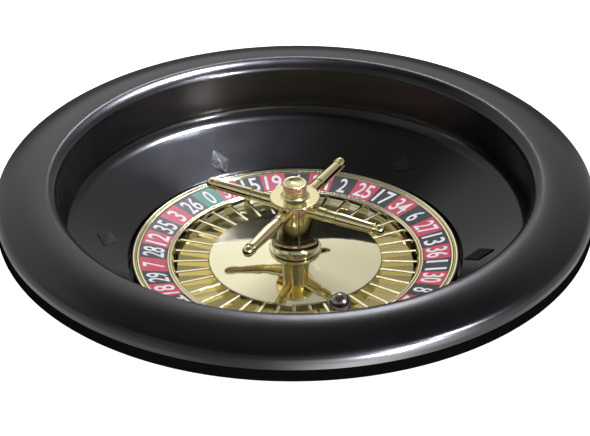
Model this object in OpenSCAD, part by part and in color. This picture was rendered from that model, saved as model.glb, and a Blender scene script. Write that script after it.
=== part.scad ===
// Table-top roulette wheel: a rolled-rim bowl, a ball-bearing rotor with a gold turret, and the ball.
// Origin: centre of the plane that the feet stand on. +Z up. Millimetres.

/* [Bowl] */
// Width of the rim from its crest to its outside
rim_w = 25.6; // [23:0.1:27]
// Drop from the rim's crest to the middle of its outer rounding
rim_fall = 10.4; // [9:0.1:12]
// Width from the apron's inner edge to the wall of the ball track
apron_w = 33.7; // [31:0.1:36]
// Height of the rim's crest above the plane of the number ring
crest_rise = 44.6; // [43:0.1:48]
// Rounding of the rim's inner lip
lip_r = 6.2; // [5:0.1:7.5]
// Rounding of the rim's outer edge
edge_r = 3.4; // [3.1:0.1:4]
// Slope of the apron in degrees
apron_slope = 23.5; // [21:0.5:25]
// Rounding between the apron and the ball track
track_fillet_r = 9; // [7:0.5:11]
// Wall of the bowl moulding
bowl_wall = 2.6; // [2.2:0.1:3]
// Thickness of the bowl's floor
floor_t = 2.5; // [2:0.1:3]
// Gap all round between the rotor and the bowl
well_gap = 1.6; // [1:0.1:2.5]
// Height of the plain wall between the rim's outer edge and the band
rim_drop = 4.5; // [3.5:0.5:7]
// How far that wall draws in on its way down
wall_draft = 0.7; // [0.3:0.1:1]

/* [Edge band] */
// How far the band stands proud of the wall above it
band_proud = 0.2; // [0.1:0.1:0.6]
// Height of the band
band_h = 6.4; // [5:0.1:7.5]
// Wall of the spigot that carries the band
spigot_t = 1.6; // [1.2:0.1:2.2]
// Depth of the spigot inside the band
spigot_h = 4.4; // [3:0.1:4.8]

/* [Deflectors] */
// Number of diamond deflectors
deflector_count = 6; // [6]
// Distance from the apron's inner edge to the middle of a deflector that lies along the track
deflector_in = 11; // [9:0.1:14]
// The same for a deflector that points at the rotor
pointing_in = 8; // [7.8:0.1:12]
// Angle of the first deflector
deflector_angle = 175; // [170:0.5:180]
// Long diagonal of a deflector
deflector_long = 16.5; // [14:0.5:17]
// Short diagonal of a deflector
deflector_short = 10.5; // [9:0.5:12]
// Height of a deflector's edge above the apron
deflector_edge_h = 0.7; // [0.5:0.1:1]
// Height of the deflector's point above its edge
deflector_peak_h = 1.6; // [1:0.1:2.2]
// Depth of the seat that a deflector is set in
deflector_seat = 1.2; // [0.8:0.1:1.4]

/* [Base] */
// Height that the feet stand proud of the base plate
foot_h = 3; // [2.8:0.1:4]
// Radius of a rubber foot
foot_r = 6.5; // [6:0.1:8]
// Radius of the circle of feet
foot_at_r = 66; // [62:0.5:67]
// Thickness of the base plate
base_t = 2; // [1.5:0.1:3]
// Distance from the circle of feet to the base plate's edge
foot_edge = 9.3; // [8.5:0.1:11]
// Clearance round the base plate
base_gap_r = 0.2; // [0.1:0.05:0.4]
// Wall of the ring that surrounds the base plate
base_ring_t = 2.5; // [2:0.1:3]
// Radius of a base screw's shank
base_screw_r = 1.5; // [1.25:0.05:1.75]
// Radius of a base screw's head
base_screw_head_r = 2.8; // [2.6:0.1:3]
// Height of a base screw's head
base_screw_head_h = 1.2; // [1:0.1:1.5]
// Thickness of rubber under the screw's head
foot_web = 0.9; // [0.7:0.1:1.2]
// Wall of a screw boss
boss_wall = 2.5; // [2:0.1:3]

/* [Spindle and bearings] */
// Radius of the steel spindle, the bore of both bearings
spindle_r = 3; // [2.9:0.05:3.1]
// Radius of the spindle's threaded end
thread_r = 2.5; // [2.2:0.1:2.6]
// Height of the collar under the lower bearing
collar_h = 2; // [1.8:0.1:2.4]
// Outer radius of a bearing
bearing_r = 7.5; // [7.4:0.05:7.6]
// Width of a bearing
bearing_w = 5; // [4.8:0.1:5.2]
// Radius of a bearing ball
bead_r = 1.2; // [1.1:0.05:1.25]
// Number of balls in a bearing
bead_count = 7; // [5:1:8]
// Running clearance round a bearing ball
bead_gap = 0.05; // [0.03:0.01:0.08]
// Thickness of the shoulder left beside a ball groove
race_lip = 0.25; // [0.2:0.05:0.35]
// Height of a bearing cage
cage_h = 3.4; // [3.2:0.1:4]
// Thickness of a bearing cage
cage_t = 1; // [0.8:0.1:1.1]
// Height of the upper bearing above the column's foot
bearing_rise = 1.2; // [1:0.1:1.6]
// Wall of the sleeve between the two bearings
sleeve_t = 1.2; // [1:0.1:1.4]
// Thickness of the retaining ring above the upper bearing
clip_t = 0.8; // [0.6:0.1:1]
// Radius of the retaining ring
clip_r = 4.8; // [4.4:0.1:5.2]
// Depth of the groove that the retaining ring sits in
clip_groove = 0.4; // [0.3:0.1:0.6]
// Thickness of the washer under the bowl's floor
washer_t = 0.8; // [0.6:0.1:1]
// Radius of the washer
washer_r = 6; // [5.5:0.1:7]
// Height of the spindle's nut
nut_h = 2.7; // [2.4:0.1:2.8]
// Width of the nut across its flats
nut_flats = 8; // [7.5:0.1:8.5]
// Space between the nut and the base plate
nut_gap = 0.5; // [0.4:0.1:1.5]

/* [Rotor] */
// Gap between the rotor and the bowl's floor
rotor_gap = 1.5; // [1.2:0.1:1.8]
// Thickness of the rotor plate
plate_t = 1.2; // [1:0.1:1.6]
// Thickness of the pocket floor
pocket_floor_t = 1; // [0.8:0.1:1.4]
// Depth from the outer edge of the number ring to the pocket floor
pocket_drop = 6.8; // [6.5:0.1:7.5]
// Number of pockets
pocket_count = 37; // [37]
// Angle of the pocket marked zero
zero_angle = 128; // [120:0.5:136]
// Inner radius of the pockets
pocket_in_r = 44.2; // [43:0.1:46]
// Length of a pocket along its floor
pocket_w = 17.2; // [16:0.1:18]
// Height of a fret above the pocket floor
fret_h = 3.8; // [3.4:0.1:4]
// Thickness of a fret
fret_t = 1.8; // [1.4:0.1:2]
// How far the pocket wall leans outwards
wall_lean = 1.3; // [1:0.1:1.8]
// Width of the gold band inside the number ring
inner_band_w = 2.9; // [2.6:0.1:3.4]
// Width of the number ring
number_w = 13.4; // [12.5:0.1:14.5]
// Width of the gold band outside the number ring
outer_band_w = 4.4; // [4:0.1:5]
// How far the number ring slopes down towards its inner edge
number_fall = 2.2; // [1.8:0.1:2.6]
// Thickness of the number ring
number_t = 0.8; // [0.6:0.1:1]
// Thickness of the deck that carries the number ring
deck_t = 1.8; // [1.5:0.1:2.2]
// Width of the ledge that the outer gold ring sits on
ledge_w = 3; // [2.5:0.1:3.2]
// Rise of the gold cone's edge above the pocket floor
cone_edge_h = 4.4; // [4.2:0.1:4.8]
// Slope of the gold cone in degrees
cone_slope = 9; // [7:0.5:10]
// Thickness of the gold cone
cone_t = 1.2; // [1:0.1:1.5]
// Distance from the circle of rotor screws to the hub's outside
hub_edge = 2.5; // [2.3:0.1:3]
// Wall between two bearing parts that turn past each other in the turret
spin_gap = 0.8; // [0.6:0.1:1]

/* [Rotor screws] */
// Number of screws that hold the turret to the hub
rotor_screw_count = 3; // [3:1:4]
// Distance from the bearing's outside to a rotor screw's middle
rotor_screw_in = 3; // [2.6:0.1:3.4]
// Radius of a rotor screw's shank
rotor_screw_r = 0.9; // [0.8:0.05:1]
// Radius of a rotor screw's head
rotor_screw_head_r = 1.7; // [1.6:0.1:1.8]
// Height of a rotor screw's head
rotor_screw_head_h = 1.4; // [1.2:0.1:1.6]
// Length of a rotor screw's thread in the turret
rotor_screw_bite = 2.2; // [1.8:0.1:2.3]

/* [Turret] */
// How far the flange at the turret's foot reaches past the hub
flange_lip = 0.3; // [0.2:0.1:0.8]
// Thickness of the flange at the turret's foot
flange_t = 1.8; // [1.5:0.1:2.2]
// Height of the turret's base
turret_base_h = 8.3; // [8:0.1:9]
// Wall of the turret's column round the upper bearing
column_wall = 1.6; // [1.4:0.1:2]
// Height of the column
column_h = 13.2; // [12.5:0.1:14]
// Taper of the column and the arm hub in degrees
column_draft = 2; // [1:0.5:3]
// Height of the hub that holds the arms
arm_hub_h = 8.2; // [8:0.1:9]
// Depth of the arms' axis below the top of their hub
arm_depth = 4.1; // [3.9:0.1:4.4]
// Radius of the bell's rim
bell_r = 12.7; // [12:0.1:13.5]
// Thickness of the bell's rim
bell_rim_t = 2; // [1.8:0.1:2.6]
// Height of the bell
bell_h = 7; // [6.4:0.1:7.6]
// Radius of the knob on top
knob_r = 6.1; // [5.8:0.1:6.6]
// Height of the knob
knob_h = 3; // [2.8:0.1:3.6]
// Depth of the hollow in the knob's top
knob_dish = 1; // [0.6:0.1:1.3]
// Radius of the long screw through the turret
tie_r = 2; // [1.8:0.1:2.1]
// Radius of that screw's head
tie_head_r = 3.6; // [3.2:0.1:4]
// Height of that screw's head
tie_head_h = 1.6; // [1.4:0.1:2]

/* [Arms] */
// Number of arms
arm_count = 4; // [4]
// Angle of the first arm
arm_angle = 61; // [50:0.5:70]
// Radius from the axis to the centre of an arm's end ball
arm_reach = 48.1; // [46:0.1:50]
// Radius of the round bar at an arm's root
arm_root_r = 2; // [1.8:0.1:2.2]
// Radius of the collar at an arm's root
arm_collar_r = 3.3; // [3:0.1:3.6]
// Radius from the axis at which the collar ends
collar_end = 18.2; // [17:0.1:19.5]
// Radius of the sleeve between the collar and the grip
arm_sleeve_r = 2.9; // [2.6:0.1:3]
// Radius from the axis at which the grip starts
grip_start = 24.8; // [23:0.1:26]
// Radius of the grip at its thick end
grip_r = 3.3; // [3:0.1:3.5]
// Radius of the grip at its thin end
grip_end_r = 2.7; // [2.5:0.1:2.9]
// Radius of an arm's end ball
tip_r = 3; // [2.8:0.1:3.1]
// Radius of the disc between the grip and the end ball
tip_disc_r = 3.2; // [3:0.1:3.4]
// Width and depth of the grooves between the parts of an arm
arm_groove = 0.6; // [0.4:0.1:0.7]
// Depth of the seat for an arm's collar in the hub
seat_d = 0.9; // [0.8:0.1:1.2]
// Depth of the socket for an arm's root beyond that seat
socket_d = 4.8; // [4:0.1:5]

/* [Ball] */
// Radius of the roulette ball
ball_r = 6; // [5.6:0.1:6.2]
// Distance from the pockets' inner end to the middle of the ball
ball_in = 10.7; // [9:0.1:13]
// Number of the pocket that the ball lies in, counted clockwise from zero
ball_pocket = 20; // [17:1:23]
// Clearance under the ball
ball_gap = 0.25; // [0.2:0.05:0.3]

/* [Hidden] */
$fn = 96;
black = "#1c1b1d";
gold = "#d9c98a";
steel = "#b9bcc2";
brass = "#b89b52";
rubber = "#2a2a2c";
red = "#b3303c";

// Radii of the rotor, from the middle outwards
rotor_screw_at_r = bearing_r + rotor_screw_in;
hub_r = rotor_screw_at_r + hub_edge;
flange_r = hub_r + flange_lip;
column_r = bearing_r + column_wall;
pocket_out_r = pocket_in_r + pocket_w;
band_in_r = pocket_out_r + wall_lean;
number_in_r = band_in_r + inner_band_w;
number_out_r = number_in_r + number_w;
rotor_r = number_out_r + outer_band_w;
ball_at_r = pocket_in_r + ball_in;

// Heights, from the table up
base_z = foot_h;
plate_under_z = base_z + base_t;
floor_z = plate_under_z + nut_gap + nut_h + washer_t;
floor_top = floor_z + floor_t;
rotor_z = floor_top + rotor_gap;
plate_top = rotor_z + plate_t;
pocket_z = plate_top + pocket_floor_t;
ring_z = pocket_z + pocket_drop;
number_in_z = ring_z - number_fall;
fret_top = pocket_z + fret_h;
cone_edge_z = pocket_z + cone_edge_h;
turret_z = cone_edge_z + (pocket_in_r - flange_r) * tan(cone_slope);
hub_top = turret_z - cone_t;
lower_bearing_z = floor_top + collar_h;
sleeve_z = lower_bearing_z + bearing_w;
column_z = turret_z + turret_base_h;
upper_bearing_z = column_z + bearing_rise;
clip_z = upper_bearing_z + bearing_w;
spindle_top = clip_z + clip_t + 0.6;
arm_hub_z = column_z + column_h;
arm_z = arm_hub_z + arm_hub_h - arm_depth;
bell_z = arm_hub_z + arm_hub_h;
knob_z = bell_z + bell_h;
turret_top = knob_z + knob_h;
tie_head_z = spindle_top + 0.6;
tie_seat_z = tie_head_z + tie_head_h;
crest_z = ring_z + crest_rise;

// Radius at which the arms' collars are seated in their hub
arm_seat_r = column_r_at(arm_z) - seat_d;

// Places across the bowl
well_r = rotor_r + well_gap;
well_edge = 0.6;
apron_r = well_r + well_edge;
track_r = apron_r + apron_w;
fillet_c = [track_r - track_fillet_r, apron_z(track_r - track_fillet_r) + track_fillet_r / cos(apron_slope)];
crest_r = track_r + lip_r;
rim_r = crest_r + rim_w;
top_round_r = (pow(rim_w - edge_r, 2) + pow(rim_fall, 2) - pow(edge_r, 2)) / (2 * (rim_fall - edge_r));
top_c = [crest_r, crest_z - top_round_r];
edge_c = [rim_r - edge_r, crest_z - rim_fall];
edge_angle = atan2(edge_c[1] - top_c[1], edge_c[0] - top_c[0]);
band_top = edge_c[1] - rim_drop;
wall_foot_r = rim_r - wall_draft;
band_r = wall_foot_r + band_proud;
spigot_r = rim_r - bowl_wall;
base_r = foot_at_r + foot_edge;
base_ring_r = base_r + base_gap_r;

// Bearing sizes
pitch_r = (spindle_r + bearing_r) / 2;
groove_r = bead_r + bead_gap;
race_in_r = pitch_r - groove_r + race_lip;
race_out_r = pitch_r + groove_r - race_lip;
ledge_drop = number_t + 0.4;
ledge_r = number_out_r + ledge_w;

// Ball
pocket_step = 360 / pocket_count;
ball_angle = zero_angle - ball_pocket * pocket_step;
fret_reach = ball_at_r * sin(pocket_step / 2) - fret_t / 2;
ball_z = fret_top + sqrt(ball_r * ball_r - fret_reach * fret_reach) + ball_gap;

// Radius of the column and the arm hub at a height
function column_r_at(z) = column_r - (z - column_z) * tan(column_draft);

// Distance of a deflector from the axis: every second one points at the rotor
function deflector_r(i) = apron_r + (i % 2 == 1 ? deflector_in : pointing_in);

// Height of the apron's surface at a radius
function apron_z(r) = ring_z + (r - apron_r) * tan(apron_slope);

// Points of an arc from angle a to angle b about a centre
function arc(c, r, a, b, n = 10) =
    [for (i = [0:n]) let (t = a + (b - a) * i / n) [c[0] + r * cos(t), c[1] + r * sin(t)]];

// Surface of the bowl from the track fillet to the edge band, sunk by a depth t
function bowl_line(t) = concat(
    arc(fillet_c, track_fillet_r + t, apron_slope - 90, 0, 12),
    arc([crest_r, crest_z - lip_r], lip_r - t, 180, 90, 12),
    arc(top_c, top_round_r - t, 88, edge_angle, 12),
    arc(edge_c, edge_r - t, edge_angle, 0, 6));

// Points of a list in the opposite order
function backwards(p) = [for (i = [len(p) - 1:-1:0]) p[i]];

module ring(r_in, r_out, z, h) {
    translate([0, 0, z]) difference() {
        cylinder(r = r_out, h = h);
        translate([0, 0, -1]) cylinder(r = r_in, h = h + 2);
    }
}

module around(count, radius, start = 0) {
    for (i = [0:count - 1]) rotate([0, 0, start + i * 360 / count]) translate([radius, 0, 0]) children();
}

module diamond(long, short, tangential) {
    a = tangential ? short / 2 : long / 2;
    b = tangential ? long / 2 : short / 2;
    polygon([[-a, 0], [0, -b], [a, 0], [0, b]]);
}

module on_apron(i) {
    rotate([0, 0, deflector_angle - (i - 1) * 360 / deflector_count])
        translate([deflector_r(i), 0, apron_z(deflector_r(i))]) rotate([0, -apron_slope, 0]) children();
}

module bowl_shell() {
    under_z = apron_z(well_r + bowl_wall) - bowl_wall / cos(apron_slope);
    profile = concat(
        [[thread_r, floor_z], [thread_r, floor_top], [well_r, floor_top], [well_r, ring_z - well_edge]],
        arc([apron_r, ring_z - well_edge], well_edge, 180, 90, 4),
        bowl_line(0),
        [[wall_foot_r, band_top], [spigot_r, band_top], [spigot_r, band_top - spigot_h],
            [spigot_r - spigot_t, band_top - spigot_h], [spigot_r - spigot_t, band_top + 1],
            [spigot_r, band_top + 1 + spigot_t]],
        backwards(bowl_line(bowl_wall)),
        [[well_r + bowl_wall, under_z], [well_r + bowl_wall, floor_z],
            [base_ring_r + base_ring_t, floor_z], [base_ring_r + base_ring_t, base_z],
            [base_ring_r, base_z], [base_ring_r, floor_z]]);
    color(black) difference() {
        union() {
            rotate_extrude($fn = 180) polygon(profile);
            around(4, foot_at_r) translate([0, 0, plate_under_z])
                cylinder(r = base_screw_r + boss_wall, h = floor_z - plate_under_z + 0.01);
        }
        around(4, foot_at_r) translate([0, 0, base_z]) cylinder(r = base_screw_r, h = floor_top - base_z - 1);
        for (i = [1:deflector_count]) on_apron(i) translate([0, 0, -deflector_seat])
            linear_extrude(deflector_seat + deflector_peak_h)
                diamond(deflector_long, deflector_short, i % 2 == 1);
    }
}

module rim_band() {
    color(black) rotate_extrude($fn = 180) polygon([
        [spigot_r, band_top - band_h], [band_r - 0.3, band_top - band_h], [band_r, band_top - band_h + 0.3],
        [band_r, band_top - 0.3], [band_r - 0.3, band_top], [spigot_r, band_top]]);
}

module deflector(i) {
    tangential = i % 2 == 1;
    a = (tangential ? deflector_short : deflector_long) / 2;
    b = (tangential ? deflector_long : deflector_short) / 2;
    top = deflector_edge_h + deflector_peak_h;
    color(black) on_apron(i) polyhedron(
        points = [
            [-a, 0, -deflector_seat], [0, -b, -deflector_seat], [a, 0, -deflector_seat], [0, b, -deflector_seat],
            [-a, 0, deflector_edge_h], [0, -b, deflector_edge_h], [a, 0, deflector_edge_h],
            [0, b, deflector_edge_h], [0, 0, top]],
        faces = [[0, 1, 2, 3], [0, 4, 5, 1], [1, 5, 6, 2], [2, 6, 7, 3], [3, 7, 4, 0],
            [4, 8, 5], [5, 8, 6], [6, 8, 7], [7, 8, 4]]);
}

module base_plate() {
    color(black) difference() {
        translate([0, 0, base_z]) cylinder(r = base_r, h = base_t);
        around(4, foot_at_r) translate([0, 0, base_z - 1]) cylinder(r = base_screw_r + 0.1, h = base_t + 2);
    }
}

module foot(i) {
    color(rubber) rotate([0, 0, (i - 1) * 90]) translate([foot_at_r, 0, 0]) difference() {
        rotate_extrude() polygon([[0, 0], [foot_r - 0.4, 0], [foot_r, 0.4], [foot_r, foot_h], [0, foot_h]]);
        translate([0, 0, -1]) cylinder(r = base_screw_r + 0.1, h = foot_h + 2);
        translate([0, 0, -1]) cylinder(r = base_screw_head_r + 0.3, h = foot_h - foot_web + 1);
    }
}

module base_screw(i) {
    head_z = foot_h - foot_web - base_screw_head_h;
    color(steel) rotate([0, 0, (i - 1) * 90]) translate([foot_at_r, 0, 0]) {
        rotate_extrude() polygon([[0, head_z], [base_screw_head_r - 0.4, head_z],
            [base_screw_head_r, head_z + 0.4], [base_screw_head_r, head_z + base_screw_head_h],
            [base_screw_r, head_z + base_screw_head_h], [base_screw_r, floor_top - 2], [0, floor_top - 1.2]]);
    }
}

module spindle() {
    collar_r = (spindle_r + race_in_r) / 2;
    end_z = floor_z - washer_t - nut_h - nut_gap / 2;
    color(steel) rotate_extrude() polygon([[0, end_z], [thread_r - 0.3, end_z], [thread_r, end_z + 0.3],
        [thread_r, floor_top], [collar_r, floor_top], [collar_r, lower_bearing_z], [spindle_r, lower_bearing_z],
        [spindle_r, clip_z], [spindle_r - clip_groove, clip_z], [spindle_r - clip_groove, clip_z + clip_t],
        [spindle_r, clip_z + clip_t], [spindle_r, spindle_top - 0.2], [spindle_r - 0.2, spindle_top],
        [0, spindle_top]]);
}

module spindle_washer() {
    color(steel) ring(thread_r, washer_r, floor_z - washer_t, washer_t);
}

module spindle_nut() {
    color(steel) translate([0, 0, floor_z - washer_t - nut_h]) difference() {
        cylinder(r = nut_flats / 2 / cos(30), h = nut_h, $fn = 6);
        translate([0, 0, -1]) cylinder(r = thread_r, h = nut_h + 2);
    }
}

module ball_groove(z) {
    translate([0, 0, z + bearing_w / 2]) rotate_extrude() translate([pitch_r, 0]) circle(r = groove_r, $fn = 32);
}

module inner_race(z) {
    color(steel) difference() {
        ring(spindle_r, race_in_r, z, bearing_w);
        ball_groove(z);
    }
}

module outer_race(z) {
    color(steel) difference() {
        ring(race_out_r, bearing_r, z, bearing_w);
        ball_groove(z);
    }
}

module cage(z) {
    color(brass) difference() {
        ring(pitch_r - cage_t / 2, pitch_r + cage_t / 2, z + (bearing_w - cage_h) / 2, cage_h);
        around(bead_count, pitch_r) translate([0, 0, z + bearing_w / 2]) sphere(r = bead_r + 0.08, $fn = 32);
    }
}

module beads(z) {
    color(steel) around(bead_count, pitch_r) translate([0, 0, z + bearing_w / 2]) sphere(r = bead_r, $fn = 32);
}

module race_sleeve() {
    color(steel) ring(spindle_r, spindle_r + sleeve_t, sleeve_z, upper_bearing_z - sleeve_z);
}

module retaining_ring() {
    color(steel) ring(spindle_r - clip_groove, clip_r, clip_z, clip_t);
}

module rotor_screw_holes(r, z, h) {
    around(rotor_screw_count, rotor_screw_at_r) translate([0, 0, z]) cylinder(r = r, h = h, $fn = 32);
}

module rotor_hub() {
    color(black) difference() {
        translate([0, 0, rotor_z]) cylinder(r = hub_r, h = hub_top - rotor_z);
        translate([0, 0, rotor_z - 1]) cylinder(r = bearing_r, h = sleeve_z - rotor_z + 1);
        translate([0, 0, rotor_z]) cylinder(r = spindle_r + sleeve_t + spin_gap, h = hub_top);
        rotor_screw_holes(rotor_screw_r + 0.1, rotor_z, hub_top);
        rotor_screw_holes(rotor_screw_head_r + 0.1, rotor_z - 1, 1.2 + rotor_screw_head_h);
    }
}

module rotor_screw(i) {
    head_z = rotor_z + 0.2;
    color(steel) rotate([0, 0, (i - 1) * 360 / rotor_screw_count]) translate([rotor_screw_at_r, 0, 0])
        rotate_extrude($fn = 32) polygon([[0, head_z], [rotor_screw_head_r, head_z],
            [rotor_screw_head_r, head_z + rotor_screw_head_h], [rotor_screw_r, head_z + rotor_screw_head_h],
            [rotor_screw_r, turret_z + rotor_screw_bite - 0.3], [0, turret_z + rotor_screw_bite]]);
}

module rotor_plate() {
    color(black) ring(hub_r, number_in_r, rotor_z, plate_t);
}

module number_deck() {
    wall_r = (band_in_r + number_in_r) / 2;
    top_z = ring_z - number_t;
    inner_z = number_in_z - number_t;
    color(black) rotate_extrude($fn = 180) polygon([[wall_r, plate_top], [number_in_r, plate_top],
        [number_in_r + 1, inner_z - deck_t], [number_out_r, top_z - deck_t - 0.6],
        [ledge_r, top_z - deck_t - 0.6], [ledge_r, ring_z - ledge_drop - 0.8],
        [number_out_r, ring_z - ledge_drop - 0.8], [number_out_r, top_z], [number_in_r, inner_z],
        [wall_r, inner_z]]);
}

module number_ring() {
    color(red) rotate_extrude($fn = 180) polygon([[number_in_r, number_in_z - number_t],
        [number_out_r, ring_z - number_t], [number_out_r, ring_z], [number_in_r, number_in_z]]);
}

module rotor_rim() {
    ledge_z = ring_z - ledge_drop - 0.8;
    bead_w = (rotor_r - number_out_r) / 4;
    bead_z = ring_z - 0.4;
    color(gold) rotate_extrude($fn = 180) polygon(concat(
        [[number_out_r, ledge_z], [ledge_r, ledge_z], [ledge_r, ledge_z - 1.6], [rotor_r, ledge_z - 1.6]],
        arc([rotor_r - bead_w, bead_z], bead_w, 0, 180, 10),
        arc([number_out_r + bead_w, bead_z], bead_w, 0, 180, 10)));
}

module pocket_floor() {
    color(gold) ring(pocket_in_r, pocket_out_r, plate_top, pocket_floor_t);
}

module pocket_wall() {
    wall_r = (band_in_r + number_in_r) / 2;
    bead_w = (number_in_r - band_in_r) / 4;
    bead_z = number_in_z - 0.3;
    color(gold) rotate_extrude($fn = 180) polygon(concat(
        [[pocket_out_r, plate_top], [wall_r, plate_top], [wall_r, number_in_z - number_t],
            [number_in_r, number_in_z - number_t]],
        arc([number_in_r - bead_w, bead_z], bead_w, 0, 180, 8),
        arc([band_in_r + bead_w, bead_z], bead_w, 0, 180, 8),
        [[pocket_out_r, pocket_z]]));
}

module pocket_frets() {
    slope_r = pocket_out_r + (band_in_r - pocket_out_r) * fret_h / (number_in_z - 0.3 - pocket_z);
    color(gold) for (i = [0:pocket_count - 1]) rotate([90, 0, zero_angle + (i + 0.5) * pocket_step])
        linear_extrude(fret_t, center = true) polygon([[pocket_in_r, pocket_z], [pocket_out_r, pocket_z],
            [slope_r, fret_top], [pocket_in_r, fret_top]]);
}

module mirror_cone() {
    bore = spindle_r + sleeve_t + spin_gap;
    fall = cone_t / cos(cone_slope);
    color(gold) difference() {
        rotate_extrude($fn = 180) polygon([[pocket_in_r, plate_top], [pocket_in_r, cone_edge_z],
            [flange_r, turret_z], [bore, turret_z], [bore, hub_top], [flange_r - 0.2, hub_top],
            [pocket_in_r - 1, cone_edge_z - fall], [pocket_in_r - 1, plate_top]]);
        rotor_screw_holes(rotor_screw_r + 0.1, hub_top - 1, cone_t + 2);
    }
}

module turret_base() {
    flare_w = flange_r - 0.2 - column_r;
    flare_h = turret_base_h - flange_t - 0.2;
    flare = [for (i = [0:10]) let (t = 90 - 9 * i)
        [flange_r - 0.2 - flare_w * cos(t), column_z - flare_h * sin(t)]];
    color(gold) difference() {
        rotate_extrude() polygon(concat([[spindle_r + sleeve_t + spin_gap, turret_z], [flange_r - 0.3, turret_z],
            [flange_r, turret_z + 0.3], [flange_r, turret_z + flange_t]], flare,
            [[spindle_r + sleeve_t + spin_gap, column_z]]));
        rotor_screw_holes(rotor_screw_r, turret_z - 1, rotor_screw_bite + 1);
    }
}

module turret_column() {
    color(gold) rotate_extrude() polygon([[bearing_r, column_z], [column_r, column_z],
        [column_r_at(arm_hub_z), arm_hub_z], [tie_r, arm_hub_z], [tie_r, tie_seat_z], [bearing_r - 1, tie_seat_z],
        [bearing_r - 1, clip_z], [bearing_r, clip_z]]);
}

module arm_hub() {
    color(gold) difference() {
        rotate_extrude() polygon([[tie_r, arm_hub_z], [column_r_at(arm_hub_z), arm_hub_z],
            [column_r_at(bell_z), bell_z], [tie_r, bell_z]]);
        for (i = [0:arm_count - 1]) rotate([0, 90, arm_angle + i * 360 / arm_count]) translate([-arm_z, 0, 0]) {
            translate([0, 0, arm_seat_r - socket_d]) cylinder(r = arm_root_r, h = socket_d + 1);
            translate([0, 0, arm_seat_r]) cylinder(r = arm_collar_r, h = 3);
        }
    }
}

module arm(i) {
    g = arm_groove;
    disc_at = arm_reach - tip_r - 0.1;
    grip_end = disc_at - g;
    tip = [for (k = [0:12]) let (t = 133 - 133 * k / 12) [tip_r * sin(t), arm_reach + tip_r * cos(t)]];
    color(gold) rotate([0, 0, arm_angle + (i - 1) * 360 / arm_count]) translate([0, 0, arm_z]) rotate([0, 90, 0])
        rotate_extrude() polygon(concat([[0, arm_seat_r - socket_d], [arm_root_r, arm_seat_r - socket_d],
            [arm_root_r, arm_seat_r], [arm_collar_r, arm_seat_r], [arm_collar_r, collar_end],
            [arm_sleeve_r - g, collar_end], [arm_sleeve_r - g, collar_end + g], [arm_sleeve_r, collar_end + g],
            [arm_sleeve_r, grip_start - g], [arm_sleeve_r - g, grip_start - g], [arm_sleeve_r - g, grip_start],
            [grip_r, grip_start], [grip_end_r, grip_end], [grip_end_r - g, grip_end], [grip_end_r - g, disc_at],
            [tip_disc_r, disc_at], [tip_disc_r, disc_at + 1]], tip));
}

module turret_bell() {
    rim_z = bell_z + bell_rim_t;
    waist = [for (i = [0:8]) let (t = 90 - 90 * i / 8)
        [bell_r - 0.6 - (bell_r - 0.6 - knob_r) * cos(t), knob_z - (knob_z - rim_z) * sin(t)]];
    color(gold) rotate_extrude() polygon(concat([[tie_r, bell_z], [bell_r - 0.8, bell_z], [bell_r, bell_z + 0.6],
        [bell_r, rim_z - 0.4], [bell_r - 0.4, rim_z]], waist, [[tie_r, knob_z]]));
}

module turret_knob() {
    rim_w = 0.8;
    dish = [for (i = [0:8]) let (t = i / 8)
        [(knob_r - rim_w) * (1 - t), turret_top - knob_dish * (1 - pow(1 - t, 2))]];
    color(gold) difference() {
        rotate_extrude() polygon(concat([[0, knob_z], [knob_r, knob_z], [knob_r, turret_top - 0.4],
            [knob_r - 0.4, turret_top]], dish));
        translate([0, 0, knob_z - 1]) cylinder(r = tie_r, h = knob_h - knob_dish);
    }
}

module tie_screw() {
    tip_z = knob_z + knob_h - knob_dish - 1.2;
    color(steel) rotate_extrude() polygon([[0, tie_head_z], [tie_head_r, tie_head_z], [tie_head_r, tie_seat_z],
        [tie_r, tie_seat_z], [tie_r, tip_z - 0.4], [tie_r - 0.4, tip_z], [0, tip_z]]);
}

module roulette_ball() {
    color(steel) rotate([0, 0, ball_angle]) translate([ball_at_r, 0, ball_z]) sphere(r = ball_r);
}

bowl_shell();
rim_band();
deflector(1);  // deflector_1
deflector(2);  // deflector_2
deflector(3);  // deflector_3
deflector(4);  // deflector_4
deflector(5);  // deflector_5
deflector(6);  // deflector_6
base_plate();
foot(1);  // foot_1
foot(2);  // foot_2
foot(3);  // foot_3
foot(4);  // foot_4
base_screw(1);  // base_screw_1
base_screw(2);  // base_screw_2
base_screw(3);  // base_screw_3
base_screw(4);  // base_screw_4
spindle();
spindle_washer();
spindle_nut();
inner_race(lower_bearing_z);  // lower_inner_race
inner_race(upper_bearing_z);  // upper_inner_race
race_sleeve();
retaining_ring();
rotor_hub();
rotor_plate();
number_deck();
number_ring();
rotor_rim();
pocket_floor();
pocket_wall();
pocket_frets();
mirror_cone();
outer_race(lower_bearing_z);  // lower_outer_race
outer_race(upper_bearing_z);  // upper_outer_race
turret_base();
turret_column();
arm_hub();
arm(1);  // arm_1
arm(2);  // arm_2
arm(3);  // arm_3
arm(4);  // arm_4
turret_bell();
turret_knob();
tie_screw();
rotor_screw(1);  // rotor_screw_1
rotor_screw(2);  // rotor_screw_2
rotor_screw(3);  // rotor_screw_3
cage(lower_bearing_z);  // lower_cage
beads(lower_bearing_z);  // lower_beads
cage(upper_bearing_z);  // upper_cage
beads(upper_bearing_z);  // upper_beads
roulette_ball();
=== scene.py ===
# Looks of the table-top roulette wheel: the rolled-rim bowl, the gold rotor with its turret, and the ball.
from math import atan2, cos, degrees, pi, radians, sin, tan

import bmesh
import bpy
from mathutils import Matrix, Vector


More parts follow.
